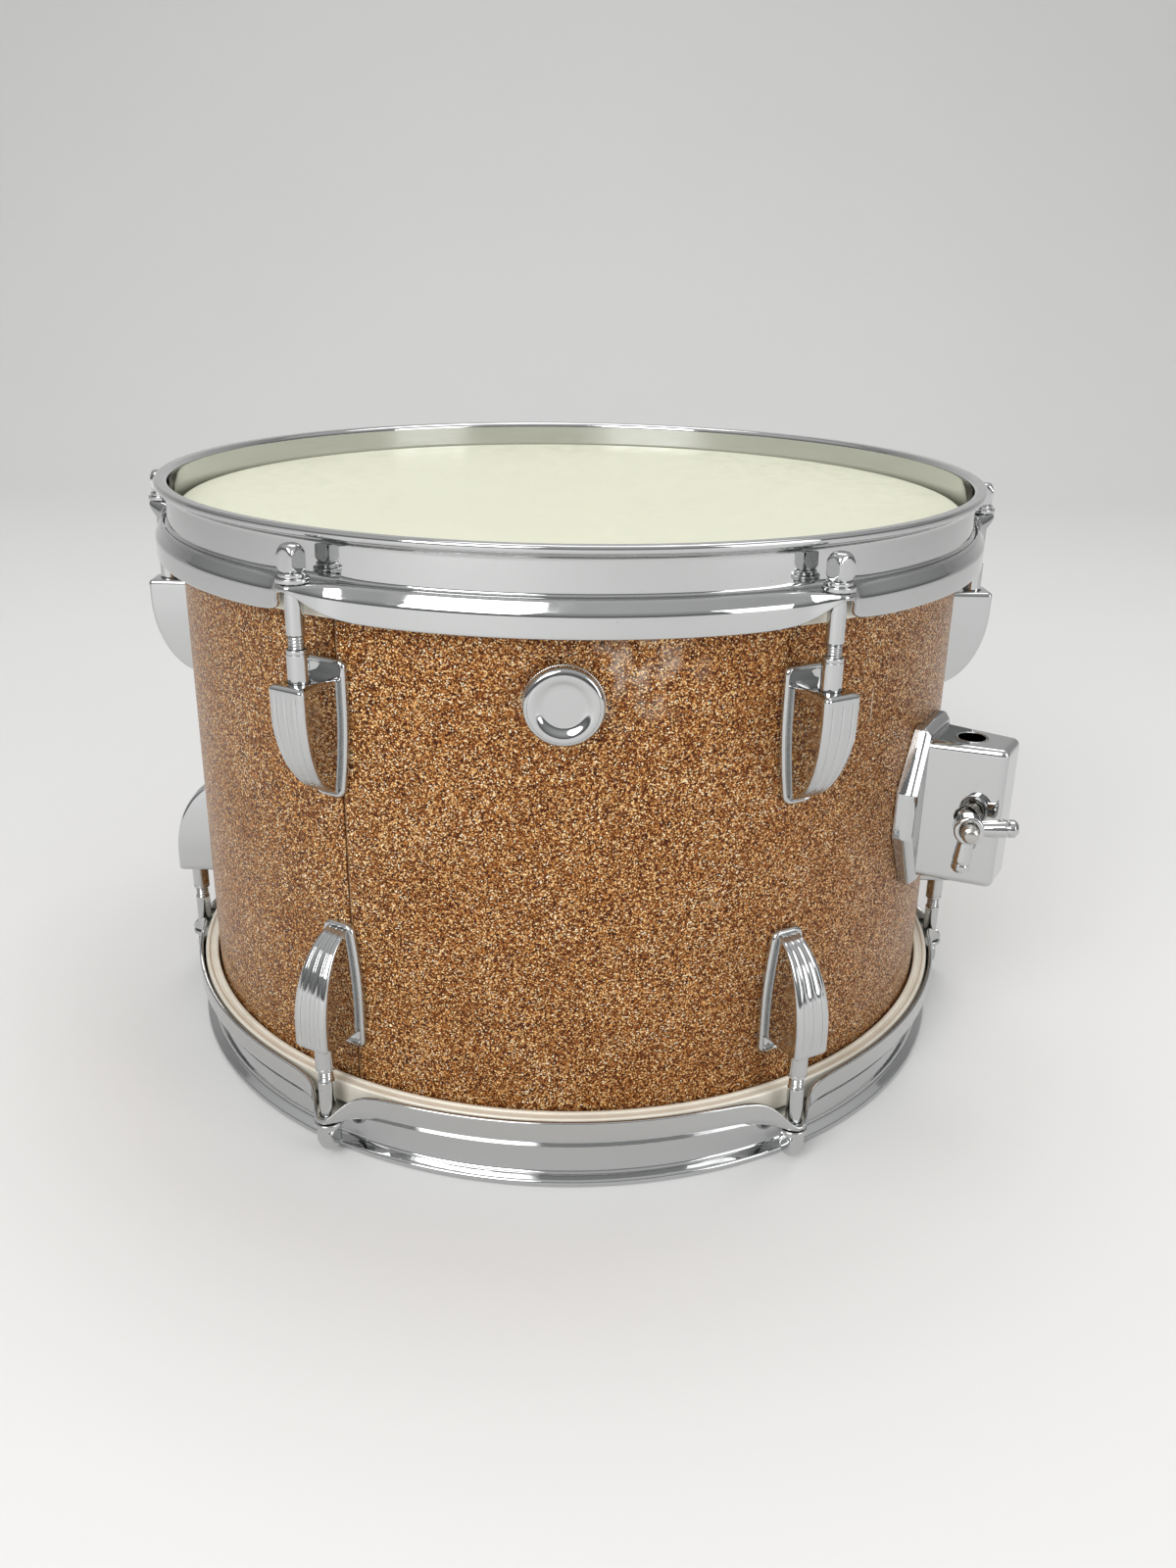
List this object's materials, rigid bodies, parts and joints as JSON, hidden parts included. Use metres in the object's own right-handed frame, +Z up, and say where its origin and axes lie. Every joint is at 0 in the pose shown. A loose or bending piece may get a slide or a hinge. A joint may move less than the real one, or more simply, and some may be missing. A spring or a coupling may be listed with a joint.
{
  "type": "tom-tom",
  "caption": "Double-headed cylindrical drum with pressed metal hoops, tuning lugs and rods, an internal damper and a side bracket for a holder arm.",
  "frame": {"origin": "on the drum's axis, in the plane that the resonant rim stands on", "axes": "+Z up along the drum's axis to the batter head, -Y to the front with the muffler knob, +X to the side with the bracket"},
  "size_m": [0.3448, 0.3224, 0.2248],
  "materials": {
    "shell_wood": "clear sealed plywood",
    "sparkle_wrap": "glossy sheet with copper sparkle flakes",
    "coated_film": "film with a cream coating",
    "clear_film": "plain film",
    "aluminium": "satin",
    "chrome": "bright plated",
    "steel": "plain zinc plated",
    "felt": "pressed wool felt"
  },
  "bodies": {
    "drum": {"shell": "shell_wood", "wrap": "sparkle_wrap", "batter_lug_1": "chrome", "batter_lug_2": "chrome", "batter_lug_3": "chrome", "batter_lug_4": "chrome", "batter_lug_5": "chrome", "batter_lug_6": "chrome", "resonant_lug_1": "chrome", "resonant_lug_2": "chrome", "resonant_lug_3": "chrome", "resonant_lug_4": "chrome", "resonant_lug_5": "chrome", "resonant_lug_6": "chrome", "batter_swivel_nut_1": "steel", "batter_swivel_nut_2": "steel", "batter_swivel_nut_3": "steel", "batter_swivel_nut_4": "steel", "batter_swivel_nut_5": "steel", "batter_swivel_nut_6": "steel", "resonant_swivel_nut_1": "steel", "resonant_swivel_nut_2": "steel", "resonant_swivel_nut_3": "steel", "resonant_swivel_nut_4": "steel", "resonant_swivel_nut_5": "steel", "resonant_swivel_nut_6": "steel", "muffler_bushing": "chrome", "muffler_locknut": "steel", "bracket_body": "chrome", "bracket_backing_plate": "steel", "bracket_screw_1": "steel", "bracket_screw_2": "steel", "bracket_screw_3": "steel", "bracket_screw_4": "steel"},
    "batter_side": {"batter_head": "coated_film", "batter_flesh_hoop": "aluminium", "batter_hoop": "chrome"},
    "resonant_side": {"resonant_head": "clear_film", "resonant_flesh_hoop": "aluminium", "resonant_hoop": "chrome"},
    "batter_rod_1": {"batter_rod_1": "chrome"},
    "batter_rod_2": {"batter_rod_2": "chrome"},
    "batter_rod_3": {"batter_rod_3": "chrome"},
    "batter_rod_4": {"batter_rod_4": "chrome"},
    "batter_rod_5": {"batter_rod_5": "chrome"},
    "batter_rod_6": {"batter_rod_6": "chrome"},
    "resonant_rod_1": {"resonant_rod_1": "chrome"},
    "resonant_rod_2": {"resonant_rod_2": "chrome"},
    "resonant_rod_3": {"resonant_rod_3": "chrome"},
    "resonant_rod_4": {"resonant_rod_4": "chrome"},
    "resonant_rod_5": {"resonant_rod_5": "chrome"},
    "resonant_rod_6": {"resonant_rod_6": "chrome"},
    "muffler": {"muffler_knob": "chrome", "muffler_spindle": "steel", "muffler_arm": "steel", "muffler_pad": "felt"},
    "wing_nut": {"bracket_wing_nut": "chrome"},
    "eyebolt": {"bracket_eyebolt": "steel"}
  },
  "joints": [
    {"name": "batter_slacken", "type": "slide", "parent": "drum", "child": "batter_side", "axis": [0, 0, 1], "range_m": [0, 0.01]},
    {"name": "batter_rod_1_turn", "type": "hinge", "parent": "batter_side", "child": "batter_rod_1", "pos_m": [0.08265, -0.14315, 0.209], "axis": [0, 0, 1], "range_deg": [0, 3402]},
    {"name": "batter_rod_2_turn", "type": "hinge", "parent": "batter_side", "child": "batter_rod_2", "pos_m": [0.1653, 0, 0.209], "axis": [0, 0, 1], "range_deg": [0, 3402]},
    {"name": "batter_rod_3_turn", "type": "hinge", "parent": "batter_side", "child": "batter_rod_3", "pos_m": [0.08265, 0.14315, 0.209], "axis": [0, 0, 1], "range_deg": [0, 3402]},
    {"name": "batter_rod_4_turn", "type": "hinge", "parent": "batter_side", "child": "batter_rod_4", "pos_m": [-0.08265, 0.14315, 0.209], "axis": [0, 0, 1], "range_deg": [0, 3402]},
    {"name": "batter_rod_5_turn", "type": "hinge", "parent": "batter_side", "child": "batter_rod_5", "pos_m": [-0.1653, 0, 0.209], "axis": [0, 0, 1], "range_deg": [0, 3402]},
    {"name": "batter_rod_6_turn", "type": "hinge", "parent": "batter_side", "child": "batter_rod_6", "pos_m": [-0.08265, -0.14315, 0.209], "axis": [0, 0, 1], "range_deg": [0, 3402]},
    {"name": "resonant_slacken", "type": "slide", "parent": "drum", "child": "resonant_side", "axis": [0, 0, -1], "range_m": [0, 0.01]},
    {"name": "resonant_rod_1_turn", "type": "hinge", "parent": "resonant_side", "child": "resonant_rod_1", "pos_m": [0.08265, 0.14315, 0.0158], "axis": [0, 0, -1], "range_deg": [0, 3402]},
    {"name": "resonant_rod_2_turn", "type": "hinge", "parent": "resonant_side", "child": "resonant_rod_2", "pos_m": [0.1653, 0, 0.0158], "axis": [0, 0, -1], "range_deg": [0, 3402]},
    {"name": "resonant_rod_3_turn", "type": "hinge", "parent": "resonant_side", "child": "resonant_rod_3", "pos_m": [0.08265, -0.14315, 0.0158], "axis": [0, 0, -1], "range_deg": [0, 3402]},
    {"name": "resonant_rod_4_turn", "type": "hinge", "parent": "resonant_side", "child": "resonant_rod_4", "pos_m": [-0.08265, -0.14315, 0.0158], "axis": [0, 0, -1], "range_deg": [0, 3402]},
    {"name": "resonant_rod_5_turn", "type": "hinge", "parent": "resonant_side", "child": "resonant_rod_5", "pos_m": [-0.1653, 0, 0.0158], "axis": [0, 0, -1], "range_deg": [0, 3402]},
    {"name": "resonant_rod_6_turn", "type": "hinge", "parent": "resonant_side", "child": "resonant_rod_6", "pos_m": [-0.08265, 0.14315, 0.0158], "axis": [0, 0, -1], "range_deg": [0, 3402]},
    {"name": "muffler_turn", "type": "hinge", "parent": "drum", "child": "muffler", "pos_m": [0, -0.15, 0.176], "axis": [0, 1, 0], "range_deg": [0, 60]},
    {"name": "wing_nut_turn", "type": "hinge", "parent": "drum", "child": "wing_nut", "pos_m": [0.14697, -0.08485, 0.1157], "axis": [0.1736, 0.9848, 0], "range_deg": [0, 255]},
    {"name": "eyebolt_draw", "type": "slide", "parent": "drum", "child": "eyebolt", "axis": [-0.1736, -0.9848, 0], "range_m": [0, 0.0009]}
  ],
  "couplings": [
    {"joint": "batter_rod_1_turn", "follows": "batter_slacken", "rad_per_m": 5936.9},
    {"joint": "batter_rod_2_turn", "follows": "batter_slacken", "rad_per_m": 5936.9},
    {"joint": "batter_rod_3_turn", "follows": "batter_slacken", "rad_per_m": 5936.9},
    {"joint": "batter_rod_4_turn", "follows": "batter_slacken", "rad_per_m": 5936.9},
    {"joint": "batter_rod_5_turn", "follows": "batter_slacken", "rad_per_m": 5936.9},
    {"joint": "batter_rod_6_turn", "follows": "batter_slacken", "rad_per_m": 5936.9},
    {"joint": "resonant_rod_1_turn", "follows": "resonant_slacken", "rad_per_m": 5936.9},
    {"joint": "resonant_rod_2_turn", "follows": "resonant_slacken", "rad_per_m": 5936.9},
    {"joint": "resonant_rod_3_turn", "follows": "resonant_slacken", "rad_per_m": 5936.9},
    {"joint": "resonant_rod_4_turn", "follows": "resonant_slacken", "rad_per_m": 5936.9},
    {"joint": "resonant_rod_5_turn", "follows": "resonant_slacken", "rad_per_m": 5936.9},
    {"joint": "resonant_rod_6_turn", "follows": "resonant_slacken", "rad_per_m": 5936.9},
    {"joint": "eyebolt_draw", "follows": "wing_nut_turn", "m_per_rad": 0.00020213}
  ]
}
